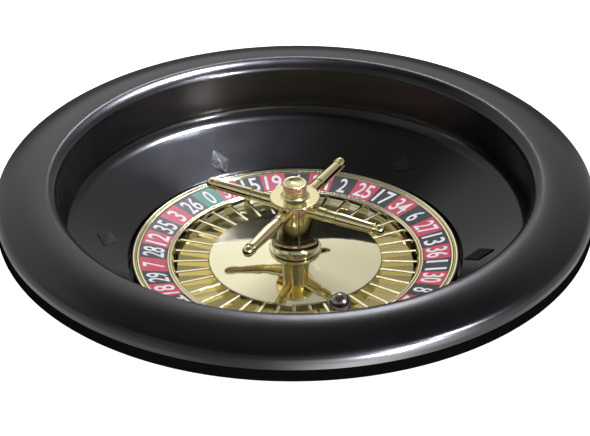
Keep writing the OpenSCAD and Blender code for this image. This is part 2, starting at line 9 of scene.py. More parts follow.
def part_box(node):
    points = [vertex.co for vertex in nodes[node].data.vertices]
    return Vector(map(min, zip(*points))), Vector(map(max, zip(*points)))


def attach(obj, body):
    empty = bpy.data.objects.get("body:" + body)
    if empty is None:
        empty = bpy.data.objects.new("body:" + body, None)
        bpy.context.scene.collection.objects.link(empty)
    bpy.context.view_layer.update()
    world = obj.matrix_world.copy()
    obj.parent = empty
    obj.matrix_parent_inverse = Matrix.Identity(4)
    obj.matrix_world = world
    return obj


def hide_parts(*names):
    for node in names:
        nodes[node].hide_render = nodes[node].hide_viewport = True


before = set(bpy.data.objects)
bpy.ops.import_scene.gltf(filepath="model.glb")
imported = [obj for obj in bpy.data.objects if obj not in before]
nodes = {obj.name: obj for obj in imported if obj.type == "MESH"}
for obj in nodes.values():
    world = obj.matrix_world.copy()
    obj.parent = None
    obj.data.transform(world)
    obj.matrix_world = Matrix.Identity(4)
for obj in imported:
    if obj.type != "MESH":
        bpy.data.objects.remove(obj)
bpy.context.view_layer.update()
# Sizes are in millimetres, and mm turns them to Blender's metres. Bump distances and lamp places are in metres.
mm = 0.001

# Camera: a long lens with the photograph's view, from 32 degrees above the table and 1.94 m from the wheel.
# It looks at the axis at the height of the number ring, tilted and rolled by about half a degree. Its angles are
# in radians.
ring_z = 22
camera_distance = 1938.6 * mm
camera_rise = 0.563746
camera_tilt = 0.0092681
camera_roll = 0.0073129
focal_px, picture_w_px = 3808.4, 590
lens = bpy.data.cameras.new("camera")
lens.sensor_width = 36
lens.lens = focal_px / picture_w_px * lens.sensor_width
lens.dof.use_dof = False
lens.clip_start, lens.clip_end = 0.05, 50
away = Vector((0, -cos(camera_rise), sin(camera_rise)))
right = Vector((1, 0, 0))
turn = Matrix.Rotation(camera_tilt, 3, right)
forward, up = turn @ -away, turn @ right.cross(-away)
turn = Matrix.Rotation(camera_roll, 3, forward)
right, up = turn @ right, turn @ up
camera = bpy.data.objects.new("camera", lens)
camera.matrix_world = (Matrix.Translation(away * camera_distance + Vector((0, 0, ring_z * mm)))
                       @ Matrix((right, up, -forward)).transposed().to_4x4())
bpy.context.collection.objects.link(camera)
bpy.context.scene.camera = camera
bpy.context.scene.view_settings.view_transform = "Standard"


# Bowl: one black ABS moulding with floor, well, apron, ball track and rolled rim, open underneath the rim.
# It is injection moulded against a polished tool and carries the spindle in its floor.
def colour(shade):
    """Linear RGBA of an sRGB hex value."""
    parts = [int(shade[i:i + 2], 16) / 255 for i in (1, 3, 5)]
    return (*[p / 12.92 if p <= 0.04045 else ((p + 0.055) / 1.055) ** 2.4 for p in parts], 1)


def add(tree, kind, links=None, **settings):
    """A new node of a tree, with its settings, and its inputs linked or set by name or number."""
    made = tree.nodes.new(kind)
    for name, value in settings.items():
        setattr(made, name, value)
    for name, value in (links or {}).items():
        if isinstance(value, bpy.types.NodeSocket):
            tree.links.new(value, made.inputs[name])
        else:
            made.inputs[name].default_value = value
    return made


def finish(name, **sockets):
    """A new material with one shader, and its tree, shader and place on the piece."""
    made = bpy.data.materials.new(name)
    made.use_nodes = True
    tree = made.node_tree
    shader = tree.nodes["Principled BSDF"]
    for socket, value in sockets.items():
        shader.inputs[socket.replace("_", " ").title().replace("Ior", "IOR")].default_value = value
    place = add(tree, "ShaderNodeTexCoord").outputs["Object"]
    return made, tree, shader, place


def outline(start, *moves):
    """A line in the XZ plane, in mm: (x, z) or (x, z, rounding) goes straight on, (x, z, degrees, steps) turns
    round a centre."""
    bm = bmesh.new()
    end = bm.verts.new((start[0] * mm, 0, start[1] * mm))
    rounded = [(end, start[2])] if len(start) == 3 else []
    for move in moves:
        at = (move[0] * mm, 0, move[1] * mm)
        if len(move) == 4:
            swept = bmesh.ops.spin(bm, geom=[end], cent=at, axis=(0, -1, 0), angle=radians(move[2]),
                                   steps=move[3])
            end = swept["geom_last"][0]
        else:
            end = bmesh.ops.extrude_vert_indiv(bm, verts=[end])["verts"][0]
            end.co = at
            if len(move) == 3:
                rounded.append((end, move[2]))
    return bm, end, rounded


def turned(start, *moves, closed=True, steps=256):
    """A solid of revolution about Z from an outline. A closed one joins its end to its start."""
    bm, end, rounded = outline(start, *moves)
    if closed:
        bm.verts.ensure_lookup_table()
        bm.edges.new((end, bm.verts[0]))
    for size in {r for v, r in rounded}:
        corners = [v for v, r in rounded if r == size]
        bmesh.ops.bevel(bm, geom=corners, offset=size * mm, segments=3, profile=0.5, affect="VERTICES",
                        material=-1)
    bmesh.ops.spin(bm, geom=bm.verts[:] + bm.edges[:], cent=(0, 0, 0), axis=(0, 0, 1), angle=2 * pi,
                   steps=steps, use_merge=True)
    bmesh.ops.remove_doubles(bm, verts=bm.verts, dist=0.0004 * mm)
    bmesh.ops.recalc_face_normals(bm, faces=bm.faces)
    return bm


def piece(name, bm, body, finishes, replaced=(), sharp=40):
    """The finished object of a bmesh, smooth up to an angle, riding on its body."""
    mesh = bpy.data.meshes.new(name)
    bm.to_mesh(mesh)
    bm.free()
    for one in finishes:
        mesh.materials.append(one)
    mesh.shade_smooth()
    mesh.set_sharp_from_angle(angle=radians(sharp))
    made = bpy.data.objects.new(name, mesh)
    bpy.context.collection.objects.link(made)
    evened = made.modifiers.new("evened", "WEIGHTED_NORMAL")
    evened.keep_sharp = True
    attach(made, body)
    if replaced:
        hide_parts(*replaced)
    return made


floor_under, floor_top = 9, 11.5
spindle_hole_r = 2.5
well_r, apron_r = 85, 85.6
apron_slope = radians(23.5)
track_r, fillet_r = 119.3, 9
lip_r, crest_r, crest_z = 6.2, 125.5, 66.5
rim_r, edge_r, edge_z = 151.1, 6, 55.04
crown_r = 44.5
bowl_wall = 2.6
wall_foot_r, band_top = 150.4, 51.7
spigot_r, spigot_t, spigot_h = 148.5, 1.6, 4.4
shelf_t = 1
base_ring_r, base_ring_t, base_under = 75.5, 2.5, 3
floor_edge, well_edge, foot_edge, base_edge = 0.4, 0.6, 0.25, 0.3


def apron_z(r):
    """The apron's height at a radius."""
    return ring_z + (r - apron_r) * tan(apron_slope)


fillet_x = track_r - fillet_r
fillet_z = apron_z(fillet_x) + fillet_r / cos(apron_slope)
crown_z = crest_z - crown_r
edge_turn = degrees(atan2(edge_z - crown_z, rim_r - edge_r - crest_r))
slope = degrees(apron_slope)
under_z = apron_z(well_r + bowl_wall) - bowl_wall / cos(apron_slope)
shell = turned(
    (spindle_hole_r, floor_under), (spindle_hole_r, floor_top), (well_r, floor_top, floor_edge),
    (well_r, ring_z, well_edge),
    (fillet_x + fillet_r * sin(apron_slope), fillet_z - fillet_r * cos(apron_slope)),
    (fillet_x, fillet_z, 90 - slope, 24), (track_r, crest_z - lip_r),
    (crest_r, crest_z - lip_r, -90, 28), (crest_r, crown_z, edge_turn - 90, 36),
    (rim_r - edge_r, edge_z, -edge_turn, 16), (wall_foot_r, band_top, foot_edge), (spigot_r, band_top),
    (spigot_r, band_top - spigot_h), (spigot_r - spigot_t, band_top - spigot_h),
    (spigot_r - spigot_t, band_top + shelf_t), (spigot_r, band_top + shelf_t + spigot_t),
    (rim_r - bowl_wall, edge_z),
    (rim_r - edge_r, edge_z, edge_turn, 6), (crest_r, crown_z, 90 - edge_turn, 16),
    (crest_r, crest_z - lip_r, 90, 10), (track_r + bowl_wall, fillet_z),
    (fillet_x, fillet_z, slope - 90, 10), (well_r + bowl_wall, under_z), (well_r + bowl_wall, floor_under),
    (base_ring_r + base_ring_t, floor_under), (base_ring_r + base_ring_t, base_under, base_edge),
    (base_ring_r, base_under, base_edge), (base_ring_r, floor_under))


def scale_for(size):
    """The scale, as a whole number, of a noise with features of this size in mm."""
    return round(1 / (size * mm))


# Polished black ABS with a faint orange peel about 5 mm across. The rim and the wall are a little softer, so
# their streaks spread, and the running ball keeps the apron and the track at its foot at a deeper gloss.
black_abs, tree, shader, place = finish("polished_black_abs", base_color=colour("#050506"), ior=1.5)
gloss_r, gloss_z = 120 * mm, 39 * mm
parts = add(tree, "ShaderNodeSeparateXYZ", {"Vector": place})
level = add(tree, "ShaderNodeCombineXYZ", {"X": parts.outputs["X"], "Y": parts.outputs["Y"]})
out = add(tree, "ShaderNodeVectorMath", {0: level.outputs["Vector"]}, operation="LENGTH")
inside = add(tree, "ShaderNodeMapRange", {"Value": out.outputs["Value"], "From Min": gloss_r - 1 * mm,
                                          "From Max": gloss_r + 1 * mm, "To Min": 1, "To Max": 0})
below = add(tree, "ShaderNodeMapRange", {"Value": parts.outputs["Z"], "From Min": gloss_z - 3 * mm,
                                         "From Max": gloss_z + 3 * mm, "To Min": 1, "To Max": 0})
apron = add(tree, "ShaderNodeMath", {0: inside.outputs["Result"], 1: below.outputs["Result"]},
            operation="MULTIPLY")
gloss = add(tree, "ShaderNodeMapRange", {"Value": apron.outputs["Value"], "To Min": 0.22, "To Max": 0.15})
haze = add(tree, "ShaderNodeTexNoise", {"Vector": place, "Scale": scale_for(26.3), "Detail": 4, "Roughness": 0.6})
uneven = add(tree, "ShaderNodeMapRange", {"Value": haze.outputs["Fac"], "From Min": 0.3, "From Max": 0.7,
                                          "To Min": 0.9, "To Max": 1.1})
rough = add(tree, "ShaderNodeMath", {0: gloss.outputs["Result"], 1: uneven.outputs["Result"]},
            operation="MULTIPLY")
tree.links.new(rough.outputs["Value"], shader.inputs["Roughness"])
peel = add(tree, "ShaderNodeTexNoise", {"Vector": place, "Scale": scale_for(5), "Detail": 2})
bump = add(tree, "ShaderNodeBump", {"Height": peel.outputs["Fac"], "Strength": 0.35, "Distance": 0.00003})
tree.links.new(bump.outputs["Normal"], shader.inputs["Normal"])
piece("bowl", shell, "bowl", [black_abs], ["bowl_shell"])

# Edge band: a matt black ring pushed over the spigot below the rim, its top edge showing as a fine seam.
# It is a softer moulding than the bowl, so it hardly shines.
band_r, band_h = 150.6, 6.4
band = turned((spigot_r, band_top - band_h), (band_r, band_top - band_h, 0.5), (band_r, band_top, 0.3),
              (spigot_r, band_top))
# Matt black moulding: it takes the light without a streak, and its grain of 0.7 mm breaks up what gloss is left.
matt_black, tree, shader, place = finish("matt_black_band", base_color=colour("#080808"), ior=1.5,
                                         specular_ior_level=0)
grain = add(tree, "ShaderNodeTexNoise", {"Vector": place, "Scale": scale_for(0.6667), "Detail": 3})
rough = add(tree, "ShaderNodeMapRange", {"Value": grain.outputs["Fac"], "To Min": 0.45, "To Max": 0.75})
tree.links.new(rough.outputs["Result"], shader.inputs["Roughness"])
bump = add(tree, "ShaderNodeBump", {"Height": grain.outputs["Fac"], "Strength": 0.4, "Distance": 0.00004})
tree.links.new(bump.outputs["Normal"], shader.inputs["Normal"])
piece("edge_band", band, "bowl", [matt_black], ["rim_band"])

# Deflectors: six small black pyramids set into the apron, which scatter the rolling ball. Every second one has
# its long diagonal along the track. They are ABS mouldings with a stippled face, glued into their seats.
along_at, across_at, deflector_start = 96.6, 93.6, 175
long_half, short_half = 8.25, 5.25
seat_depth, side_h, peak_h, arris = 1.2, 0.7, 1.6, 0.22
# Stippled black ABS: grit some 0.7 mm across that scatters the light into specks.
stippled, tree, shader, place = finish("stippled_black_abs", base_color=colour("#060606"), roughness=0.3,
                                       ior=1.5, specular_ior_level=0.3)
grit = add(tree, "ShaderNodeTexVoronoi", {"Vector": place, "Scale": scale_for(0.7143), "Randomness": 1})
bump = add(tree, "ShaderNodeBump", {"Height": grit.outputs["Distance"], "Strength": 1, "Distance": 0.0005})
tree.links.new(bump.outputs["Normal"], shader.inputs["Normal"])
for i in range(6):
    bm = bmesh.new()
    base = bmesh.ops.create_circle(bm, cap_ends=True, segments=4, radius=1)["verts"]
    across = (short_half, long_half) if i % 2 == 0 else (long_half, short_half)
    deflector_at = along_at if i % 2 == 0 else across_at
    bmesh.ops.scale(bm, vec=(across[0] * mm, across[1] * mm, 1), verts=base)
    bmesh.ops.translate(bm, vec=(0, 0, -seat_depth * mm), verts=base)
    walls = bmesh.ops.extrude_face_region(bm, geom=bm.faces[:])["geom"]
    top = [g for g in walls if isinstance(g, bmesh.types.BMVert)]
    bmesh.ops.translate(bm, vec=(0, 0, (seat_depth + side_h) * mm), verts=top)
    lid = [f for f in bm.faces if all(v in top for v in f.verts)]
    peak = bmesh.ops.poke(bm, faces=lid)["verts"]
    bmesh.ops.translate(bm, vec=(0, 0, peak_h * mm), verts=peak)
    bmesh.ops.recalc_face_normals(bm, faces=bm.faces)
    raised = [e for e in bm.edges if all(v in top or v in peak for v in e.verts)]
    bmesh.ops.bevel(bm, geom=raised, offset=arris * mm, segments=2, profile=0.5, affect="EDGES", material=-1)
    bmesh.ops.rotate(bm, cent=(0, 0, 0), matrix=Matrix.Rotation(-apron_slope, 3, "Y"), verts=bm.verts)
    bmesh.ops.translate(bm, vec=(deflector_at * mm, 0, apron_z(deflector_at) * mm), verts=bm.verts)
    bmesh.ops.rotate(bm, cent=(0, 0, 0), matrix=Matrix.Rotation(radians(deflector_start - 60 * i), 3, "Z"),
                     verts=bm.verts)
    piece(f"deflector_{i + 1}_stippled", bm, "bowl", [stippled], [f"deflector_{i + 1}"],
          sharp=25)

# Outer gold band: a plastic moulding with two round beads that frames the number ring, plated mirror-bright.
# It sits on the ledge of the number deck and turns with the rotor.
number_out, rotor_r, ledge_r = 79, 83.4, 82
bead_drop, ledge_z, skirt_h = 0.4, 20, 1.6
bead_z = ring_z - bead_drop
bead = (rotor_r - number_out) / 4
outer_band = turned((number_out, ledge_z), (ledge_r, ledge_z), (ledge_r, ledge_z - skirt_h),
                    (rotor_r, ledge_z - skirt_h, 0.3), (rotor_r, bead_z), (rotor_r - bead, bead_z, 180, 16),
                    (number_out + bead, bead_z, 180, 16))
# Vacuum-plated plastic: a pale gold mirror with the ripple of the moulding under it, 3 mm from crest to crest.
plated, tree, shader, place = finish("plated_pale_gold", base_color=colour("#f5edc8"), metallic=1)
ripple = add(tree, "ShaderNodeTexNoise", {"Vector": place, "Scale": scale_for(3.03), "Detail": 2})
bump = add(tree, "ShaderNodeBump", {"Height": ripple.outputs["Fac"], "Strength": 0.3, "Distance": 0.00003})
tree.links.new(bump.outputs["Normal"], shader.inputs["Normal"])
smear = add(tree, "ShaderNodeTexNoise", {"Vector": place, "Scale": scale_for(16.7), "Detail": 3})
rough = add(tree, "ShaderNodeMapRange", {"Value": smear.outputs["Fac"], "To Min": 0.03, "To Max": 0.08})
tree.links.new(rough.outputs["Result"], shader.inputs["Roughness"])
piece("outer_gold_band", outer_band, "rotor", [plated], ["rotor_rim"])

# Number ring: a printed plastic ring that falls towards the middle, with thirty-seven fields in the usual order.
# The fields are red and black in turn, with one green, and touch each other without a line between them.
order = [0, 32, 15, 19, 4, 21, 2, 25, 17, 34, 6, 27, 13, 36, 11, 30, 8, 23, 10, 5, 24, 16, 33, 1, 20, 14, 31, 9,
         22, 18, 29, 7, 28, 12, 35, 3, 26]
step = 360 / len(order)
zero_angle = 128
number_in, number_fall, number_t = 65.6, 2.2, 0.8
ink_thin = 0.86
printed = []
for name, shade in (("green", "#1d9078"), ("red", "#d8304f"), ("black", "#0d0c0e")):
    # Silk-screened ink under a clear coat: even and slightly glossy, with the fine mottle of the screen.
    ink, tree, shader, place = finish(f"{name}_printed_ink", roughness=0.32, ior=1.5)
    mottle = add(tree, "ShaderNodeTexNoise", {"Vector": place, "Scale": scale_for(1.429), "Detail": 4})
    deep = tuple(c * ink_thin for c in colour(shade)[:3]) + (1,)
    mixed = add(tree, "ShaderNodeMix", {"Factor": mottle.outputs["Fac"], "A": deep, "B": colour(shade)},
                data_type="RGBA")
    tree.links.new(mixed.outputs["Result"], shader.inputs["Base Color"])
    printed.append(ink)
bm = bmesh.new()
for i in range(len(order)):
    start = radians(zero_angle - (i - 0.5) * step)
    corners = [(number_in, ring_z - number_fall), (number_out, ring_z), (number_out, ring_z - number_t),
               (number_in, ring_z - number_fall - number_t)]
    ends = [bm.verts.new((r * mm * cos(start), r * mm * sin(start), z * mm)) for r, z in corners]
    rim = [bm.edges.new((ends[k], ends[(k + 1) % 4])) for k in range(4)]
    done = len(bm.faces)
    bmesh.ops.spin(bm, geom=ends + rim, cent=(0, 0, 0), axis=(0, 0, 1), angle=-radians(step), steps=7)
    bm.faces.ensure_lookup_table()
    for face in bm.faces[done:]:
        face.material_index = 0 if i == 0 else 2 - i % 2
bmesh.ops.remove_doubles(bm, verts=bm.verts, dist=0.001 * mm)
bmesh.ops.recalc_face_normals(bm, faces=bm.faces)
piece("number_fields", bm, "rotor", printed, ["number_ring"])

# Numbers: tall narrow white figures printed on the fields, their heads outwards, read clockwise.
# The ink stands a few hundredths of a millimetre proud, so it catches the light like the fields do.
figure_h, figure_w, ink_t, ink_lift = 11.2, 8.9, 0.05, 0.06
single_share = 0.47
white_ink, tree, shader, place = finish("white_printed_ink", roughness=0.35, ior=1.5)
cover = add(tree, "ShaderNodeTexNoise", {"Vector": place, "Scale": scale_for(1.111), "Detail": 3})
mixed = add(tree, "ShaderNodeMix", {"Factor": cover.outputs["Fac"], "A": colour("#eeeef0"),
                                    "B": colour("#fbfbfb")}, data_type="RGBA")
tree.links.new(mixed.outputs["Result"], shader.inputs["Base Color"])
bm = bmesh.new()
for i, number in enumerate(order):
    words = bpy.data.curves.new("figure", "FONT")
    words.body = str(number)
    words.align_x, words.align_y = "CENTER", "CENTER"
    words.size = 1
    words.offset = 0.012
    words.space_character = 0.96
    words.resolution_u = 3
    drawn = bpy.data.objects.new("figure", words)
    mesh = bpy.data.meshes.new_from_object(drawn)
    part = bmesh.new()
    part.from_mesh(mesh)
    bpy.data.objects.remove(drawn)
    bpy.data.meshes.remove(mesh)
    bmesh.ops.remove_doubles(part, verts=part.verts, dist=0.0005)
    xs, ys = [v.co.x for v in part.verts], [v.co.y for v in part.verts]
    wide = figure_w if number > 9 else figure_w * single_share
    bmesh.ops.translate(part, vec=(-(min(xs) + max(xs)) / 2, -(min(ys) + max(ys)) / 2, 0), verts=part.verts)
    bmesh.ops.scale(part, vec=(wide * mm / (max(xs) - min(xs)), figure_h * mm / (max(ys) - min(ys)), 1),
                    verts=part.verts)
    bmesh.ops.solidify(part, geom=part.faces[:], thickness=ink_t * mm)
    bmesh.ops.recalc_face_normals(part, faces=part.faces)
    angle = radians(zero_angle - i * step)
    fall = atan2(number_fall, number_out - number_in)
    lift = Matrix.Rotation(fall, 3, "X")
    bmesh.ops.rotate(part, cent=(0, 0, 0), matrix=lift, verts=part.verts)
    middle = (0, (number_in + number_out) / 2 * mm, (ring_z - number_fall / 2 + ink_lift) * mm)
    bmesh.ops.translate(part, vec=middle, verts=part.verts)
    bmesh.ops.rotate(part, cent=(0, 0, 0), matrix=Matrix.Rotation(angle - pi / 2, 3, "Z"), verts=part.verts)
    mesh = bpy.data.meshes.new("figure")
    part.to_mesh(mesh)
    part.free()
    bm.from_mesh(mesh)
    bpy.data.meshes.remove(mesh)
piece("numbers", bm, "rotor", [white_ink], sharp=30)

# Pocket wall: the gold band with two fine beads inside the number ring, and the steep wall that drops from it
# to the pockets. It is one plated moulding, chamfered where it meets the floor.
band_in, pocket_out, pocket_z, plate_top = 62.7, 61.4, 15.2, 14.2
wall_r = (band_in + number_in) / 2
fine_bead = (number_in - band_in) / 4
fine_drop, deck_z = 0.3, 19
fine_z = ring_z - number_fall - fine_drop
chamfer, steep_r, steep_z = 1.2, 61.9, 17
wall = turned((pocket_out - chamfer, plate_top), (wall_r, plate_top), (wall_r, deck_z), (number_in, deck_z),
              (number_in, fine_z), (number_in - fine_bead, fine_z, 180, 12),
              (band_in + fine_bead, fine_z, 180, 12), (steep_r, steep_z), (pocket_out - chamfer, pocket_z))
piece("pocket_wall_plated", wall, "rotor", [plated], ["pocket_wall"])

# Pocket floor: a flat plated ring between the cone and the wall.
pocket_in = 44.2
ground = turned((pocket_in, plate_top), (pocket_out, plate_top), (pocket_out, pocket_z), (pocket_in, pocket_z))
piece("pocket_floor_plated", ground, "rotor", [plated], ["pocket_floor"])

# Frets: thirty-seven upright bars that part the pockets. They are moulded and plated like the wall, and their
# top edges are rounded.
fret_t, fret_h, fret_root, fret_edge = 1.8, 3.8, 0.6, 0.35
bm = bmesh.new()
bar = bmesh.ops.create_cube(bm, size=1)["verts"]
bmesh.ops.scale(bm, vec=((pocket_out + fret_root - pocket_in) * mm, fret_t * mm, fret_h * mm), verts=bar)
bmesh.ops.translate(bm, vec=((pocket_out + fret_root + pocket_in) / 2 * mm, 0, (pocket_z + fret_h / 2) * mm),
                    verts=bar)
upper = [e for e in bm.edges if all(v.co.z > (pocket_z + 1) * mm for v in e.verts)]
bmesh.ops.bevel(bm, geom=upper, offset=fret_edge * mm, segments=3, profile=0.5, affect="EDGES", material=-1)
bmesh.ops.rotate(bm, cent=(0, 0, 0), matrix=Matrix.Rotation(radians(zero_angle + step / 2), 3, "Z"),
                 verts=bm.verts)
bmesh.ops.spin(bm, geom=bm.faces[:], cent=(0, 0, 0), axis=(0, 0, 1), angle=2 * pi, steps=len(order),
               use_duplicate=True)
bmesh.ops.remove_doubles(bm, verts=bm.verts, dist=0.001 * mm)
bmesh.ops.recalc_face_normals(bm, faces=bm.faces)
piece("frets_plated", bm, "rotor", [plated], ["pocket_frets"])

# Cone: the mirror-bright gold disc that rises gently from the pockets to the turret, one plated moulding.
cone_edge_z, flange_r, cone_slope = 19.6, 13.3, radians(9)
cone_t, cone_skirt, bore_r, step_in = 1.2, 1, 5, 0.2
cone_rise = (pocket_in - flange_r) * tan(cone_slope)
turret_z = cone_edge_z + cone_rise
cone = turned((pocket_in, plate_top), (pocket_in, cone_edge_z, 0.5), (flange_r, turret_z), (bore_r, turret_z),
              (bore_r, turret_z - cone_t), (flange_r - step_in, turret_z - cone_t),
              (pocket_in - cone_skirt, cone_edge_z - cone_t), (pocket_in - cone_skirt, plate_top))
piece("mirror_disc", cone, "rotor", [plated], ["mirror_cone"])

# Turret: flanged foot, column, arm hub, bell and knob, turned from brass, polished, gold plated and clamped
# together by a long screw inside. Fine tool rings run round them, under the polish.
def spaced(size):
    """The scale, as a whole number, of a wave with bands this many mm apart: it turns by 20 radians a unit."""
    return round(2 * pi / 20 / (size * mm))


turned_gold, tree, shader, place = finish("polished_turned_gold", base_color=colour("#f0e6b4"), metallic=1)
rings = add(tree, "ShaderNodeTexWave", {"Vector": place, "Scale": spaced(0.6545), "Distortion": 0.6,
                                        "Detail": 2}, wave_type="BANDS", bands_direction="Z")
bump = add(tree, "ShaderNodeBump", {"Height": rings.outputs["Fac"], "Strength": 0.06, "Distance": 0.00002})
tree.links.new(bump.outputs["Normal"], shader.inputs["Normal"])
smear = add(tree, "ShaderNodeTexNoise", {"Vector": place, "Scale": scale_for(6.25), "Detail": 3})
rough = add(tree, "ShaderNodeMapRange", {"Value": smear.outputs["Fac"], "To Min": 0.04, "To Max": 0.1})
tree.links.new(rough.outputs["Result"], shader.inputs["Roughness"])
flange_t, foot_h = 1.8, 8.3
column_r, column_draft = 9.1, radians(2)
column_z = turret_z + foot_h
hub_z, bell_z = column_z + 13.2, column_z + 21.4
flare_w, flare_h = flange_r - step_in - column_r, foot_h - flange_t - step_in
flare = [(flange_r - step_in - flare_w * cos(radians(90 - 7.5 * k)),
          column_z - flare_h * sin(radians(90 - 7.5 * k))) for k in range(13)]
foot = turned((bore_r, turret_z), (flange_r, turret_z, 0.3), (flange_r, turret_z + flange_t, 0.25), *flare,
              (bore_r, column_z), steps=96)
piece("turret_foot", foot, "rotor", [turned_gold], ["turret_base"])
hub_r = column_r - (hub_z - column_z) * tan(column_draft)
hub_top_r = column_r - (bell_z - column_z) * tan(column_draft)
screw_r, socket_r, sleeve_in, socket_top, socket_low = 2, 6.5, 7.5, 42.6, 39
column = turned((sleeve_in, column_z), (column_r, column_z), (hub_r, hub_z), (screw_r, hub_z),
                (screw_r, socket_top), (socket_r, socket_top), (socket_r, socket_low), (sleeve_in, socket_low),
                steps=96)
piece("turret_column_turned", column, "rotor", [turned_gold], ["turret_column"])
hub = turned((screw_r, hub_z), (hub_r, hub_z, 0.12), (hub_top_r, bell_z), (screw_r, bell_z), steps=96)
piece("arm_hub_turned", hub, "rotor", [turned_gold], ["arm_hub"])
bell_r, bell_rim, bell_h, knob_r = 12.7, 2, 7, 6.1
knob_z = bell_z + bell_h
neck_fillet = 2
neck = [(knob_r + neck_fillet * (1 - sin(radians(9 * k))),
         bell_z + bell_rim + neck_fillet * (1 - cos(radians(9 * k)))) for k in range(11)]
bell = turned((screw_r, bell_z), (bell_r, bell_z, 0.6), (bell_r, bell_z + bell_rim, 0.5), *neck,
              (knob_r, knob_z, 0.15), (screw_r, knob_z), steps=96)
piece("turret_bell_turned", bell, "rotor", [turned_gold], ["turret_bell"])
knob_h, dish, knob_rim = 3, 1, 0.8
top_z = knob_z + knob_h
dip = [((knob_r - knob_rim) * (1 - k / 10), top_z - dish * (1 - (1 - k / 10) ** 2)) for k in range(11)]
knob = turned((0, knob_z), (knob_r, knob_z, 0.15), (knob_r, top_z, 0.4), *dip, closed=False, steps=96)
piece("turret_knob_turned", knob, "rotor", [turned_gold], ["turret_knob"])

# Arms: four turned and gold-plated handles, screwed into the hub at a right angle to each other. Each is a plain
# collar, a thinner sleeve, a tapering grip, a disc and a ball at the end, parted by fine grooves.
arm_z, arm_start, arm_reach = bell_z - 4.1, 61, 48.1
root_r, root_at, seat_r, groove = 2, 2.8, 7.6, 0.6
collar_r, collar_end = 3.3, 18.2
sleeve_r, grip_start = 2.9, 24.8
grip_r, grip_end_r, grip_end = 3.3, 2.7, 44.4
disc_r, disc_t, tip_r, tip_arc = 3.2, 1, 3, 133
for i in range(4):
    bm = turned((0, root_at), (root_r, root_at), (root_r, seat_r), (collar_r, seat_r),
                (collar_r, collar_end, 0.2),
                (sleeve_r - groove, collar_end), (sleeve_r - groove, collar_end + groove),
                (sleeve_r, collar_end + groove, 0.15), (sleeve_r, grip_start - groove, 0.15),
                (sleeve_r - groove, grip_start - groove), (sleeve_r - groove, grip_start),
                (grip_r, grip_start, 0.25), (grip_end_r, grip_end, 0.2), (grip_end_r - groove, grip_end),
                (grip_end_r - groove, grip_end + groove), (disc_r, grip_end + groove, 0.25),
                (disc_r, grip_end + groove + disc_t, 0.25),
                (tip_r * sin(radians(tip_arc)), arm_reach + tip_r * cos(radians(tip_arc))),
                (0, arm_reach, tip_arc, 18),
                closed=False, steps=48)
    bmesh.ops.rotate(bm, cent=(0, 0, 0), matrix=Matrix.Rotation(pi / 2, 3, "Y"), verts=bm.verts)
    bmesh.ops.translate(bm, vec=(0, 0, arm_z * mm), verts=bm.verts)
    bmesh.ops.rotate(bm, cent=(0, 0, 0), matrix=Matrix.Rotation(radians(arm_start + 90 * i), 3, "Z"),
                     verts=bm.verts)
    piece(f"arm_{i + 1}_turned", bm, "rotor", [turned_gold], [f"arm_{i + 1}"])

# Ball: polished steel, 12 mm across, lying across two frets of a pocket on the side towards the camera.
ball_r = 6
low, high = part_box("roulette_ball")
bm = bmesh.new()
bmesh.ops.create_uvsphere(bm, u_segments=64, v_segments=32, radius=ball_r * mm)
bmesh.ops.translate(bm, vec=(Vector(low) + Vector(high)) / 2, verts=bm.verts)
# Polished steel, dulled by play: it mirrors the gold and the frets softly.
steel_ball, tree, shader, place = finish("polished_ball_steel", base_color=colour("#a89f9c"), metallic=1)
rub = add(tree, "ShaderNodeTexNoise", {"Vector": place, "Scale": scale_for(2.5), "Detail": 4})
rough = add(tree, "ShaderNodeMapRange", {"Value": rub.outputs["Fac"], "To Min": 0.14, "To Max": 0.26})
tree.links.new(rough.outputs["Result"], shader.inputs["Roughness"])
piece("steel_ball", bm, "ball", [steel_ball], ["roulette_ball"])

# Base: a black plate under the bowl's floor, and the hub, the deck and the plate of the rotor, all plain ABS
# mouldings. Their spark-eroded grain of half a millimetre looks evenly dull.
grained, tree, shader, place = finish("grained_black_abs", base_color=colour("#151416"), ior=1.54)
grain = add(tree, "ShaderNodeTexNoise", {"Vector": place, "Scale": scale_for(0.4545), "Detail": 3})
rough = add(tree, "ShaderNodeMapRange", {"Value": grain.outputs["Fac"], "To Min": 0.4, "To Max": 0.6})
tree.links.new(rough.outputs["Result"], shader.inputs["Roughness"])
bump = add(tree, "ShaderNodeBump", {"Height": grain.outputs["Fac"], "Strength": 0.5, "Distance": 0.00005})
tree.links.new(bump.outputs["Normal"], shader.inputs["Normal"])


def dress(names, made):
    """Gives CAD nodes a material."""
    for name in names:
        mesh = nodes[name].data
        mesh.materials.clear()
        mesh.materials.append(made)


dress(["base_plate", "rotor_plate", "number_deck", "rotor_hub"], grained)

# Feet: four moulded rubber feet, each held by a screw through its middle. Rubber hardly shines, and a bloom in
# spots 1 mm across leaves it faintly blotched.
rubber, tree, shader, place = finish("moulded_rubber", base_color=colour("#1d1d1e"), ior=1.52)
bloom = add(tree, "ShaderNodeTexNoise", {"Vector": place, "Scale": scale_for(1.111), "Detail": 5})
rough = add(tree, "ShaderNodeMapRange", {"Value": bloom.outputs["Fac"], "To Min": 0.65, "To Max": 0.85})
tree.links.new(rough.outputs["Result"], shader.inputs["Roughness"])
bump = add(tree, "ShaderNodeBump", {"Height": bloom.outputs["Fac"], "Strength": 0.5, "Distance": 0.00006})
tree.links.new(bump.outputs["Normal"], shader.inputs["Normal"])
dress([f"foot_{k}" for k in range(1, 5)], rubber)

